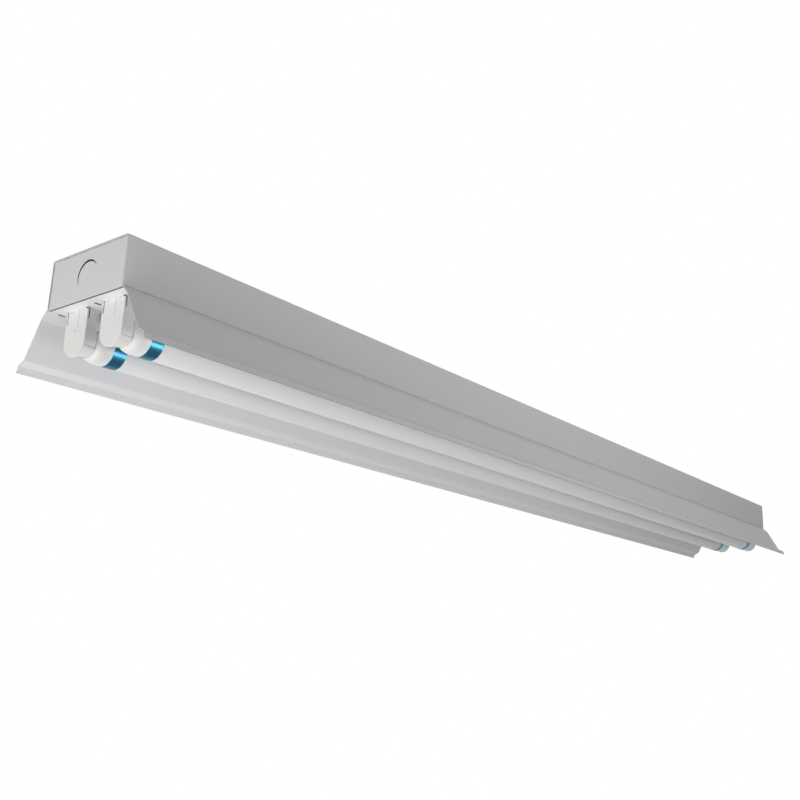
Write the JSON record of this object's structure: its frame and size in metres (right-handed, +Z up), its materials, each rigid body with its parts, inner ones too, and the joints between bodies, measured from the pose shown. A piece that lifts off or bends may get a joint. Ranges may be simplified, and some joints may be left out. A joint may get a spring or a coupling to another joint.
{
  "type": "shop light",
  "caption": "Long folded-steel ceiling light with a flared white reflector, rotary lampholders and tube lamps that end in metallic rings.",
  "frame": {"origin": "centre of the housing's top face, which lies against the ceiling", "axes": "+X along the light from the near end to the far end, +Y to the left seen from the near end, +Z up into the ceiling"},
  "size_m": [1.244, 0.15, 0.0801],
  "materials": {
    "housing_paint": "satin off-white paint on folded steel",
    "plate_paint": "satin off-white paint on a flat plate",
    "reflector_paint": "smooth white reflector paint",
    "zinc_steel": "bright zinc plating",
    "screw_steel": "white painted screw head",
    "holder_plastic": "moulded warm white plastic",
    "rotor_plastic": "moulded white plastic",
    "contact_bronze": "spring bronze",
    "frosted_tube": "frosted translucent plastic",
    "spine_aluminium": "mill finish extrusion",
    "board_white": "white solder mask",
    "cap_plastic": "glossy white plastic",
    "ring_blue": "metallic blue foil",
    "pin_brass": "plated brass",
    "driver_paint": "light grey enamel",
    "board_green": "green solder mask",
    "terminal_plastic": "orange nylon",
    "ground_green": "green dyed zinc",
    "wire_red": "smooth insulation",
    "wire_black": "smooth insulation"
  },
  "bodies": {
    "fixture": {"housing_channel": "housing_paint", "end_plate_near": "plate_paint", "end_plate_far": "plate_paint", "reflector": "reflector_paint", "spreader_near": "zinc_steel", "spreader_far": "zinc_steel", "reflector_screws": "screw_steel", "lampholder_near_left": "holder_plastic", "lampholder_near_right": "holder_plastic", "lampholder_far_left": "holder_plastic", "lampholder_far_right": "holder_plastic", "contacts_near_left": "contact_bronze", "contacts_near_right": "contact_bronze", "contacts_far_left": "contact_bronze", "contacts_far_right": "contact_bronze", "driver_case": "driver_paint", "driver_base": "zinc_steel", "driver_board": "board_green", "driver_studs": "zinc_steel", "driver_nuts": "zinc_steel", "terminal_block": "terminal_plastic", "ground_screw": "ground_green", "wiring_near": "wire_red", "wiring_far": "wire_red", "supply_wires": "wire_black"},
    "lamp_left": {"tube_left": "frosted_tube", "spine_left": "spine_aluminium", "led_board_left": "board_white", "cap_near_left": "cap_plastic", "ring_near_left": "ring_blue", "pins_near_left": "pin_brass", "cap_far_left": "cap_plastic", "ring_far_left": "ring_blue", "pins_far_left": "pin_brass"},
    "lamp_right": {"tube_right": "frosted_tube", "spine_right": "spine_aluminium", "led_board_right": "board_white", "cap_near_right": "cap_plastic", "ring_near_right": "ring_blue", "pins_near_right": "pin_brass", "cap_far_right": "cap_plastic", "ring_far_right": "ring_blue", "pins_far_right": "pin_brass"},
    "rotor_near_left": {"rotor_near_left": "rotor_plastic"},
    "rotor_near_right": {"rotor_near_right": "rotor_plastic"},
    "rotor_far_left": {"rotor_far_left": "rotor_plastic"},
    "rotor_far_right": {"rotor_far_right": "rotor_plastic"}
  },
  "joints": [
    {"name": "lamp_left_turn", "type": "hinge", "parent": "fixture", "child": "lamp_left", "pos_m": [0, 0.0214, -0.0611], "axis": [1, 0, 0], "range_deg": [0, 90]},
    {"name": "rotor_near_left_turn", "type": "hinge", "parent": "fixture", "child": "rotor_near_left", "pos_m": [-0.604, 0.0214, -0.0611], "axis": [1, 0, 0], "range_deg": [0, 90]},
    {"name": "rotor_far_left_turn", "type": "hinge", "parent": "fixture", "child": "rotor_far_left", "pos_m": [0.604, 0.0214, -0.0611], "axis": [1, 0, 0], "range_deg": [0, 90]},
    {"name": "lamp_right_turn", "type": "hinge", "parent": "fixture", "child": "lamp_right", "pos_m": [0, -0.0214, -0.0611], "axis": [1, 0, 0], "range_deg": [0, 90]},
    {"name": "rotor_near_right_turn", "type": "hinge", "parent": "fixture", "child": "rotor_near_right", "pos_m": [-0.604, -0.0214, -0.0611], "axis": [1, 0, 0], "range_deg": [0, 90]},
    {"name": "rotor_far_right_turn", "type": "hinge", "parent": "fixture", "child": "rotor_far_right", "pos_m": [0.604, -0.0214, -0.0611], "axis": [1, 0, 0], "range_deg": [0, 90]}
  ],
  "couplings": [
    {"joint": "rotor_near_left_turn", "follows": "lamp_left_turn", "ratio": 1},
    {"joint": "rotor_far_left_turn", "follows": "lamp_left_turn", "ratio": 1},
    {"joint": "rotor_near_right_turn", "follows": "lamp_right_turn", "ratio": 1},
    {"joint": "rotor_far_right_turn", "follows": "lamp_right_turn", "ratio": 1}
  ]
}
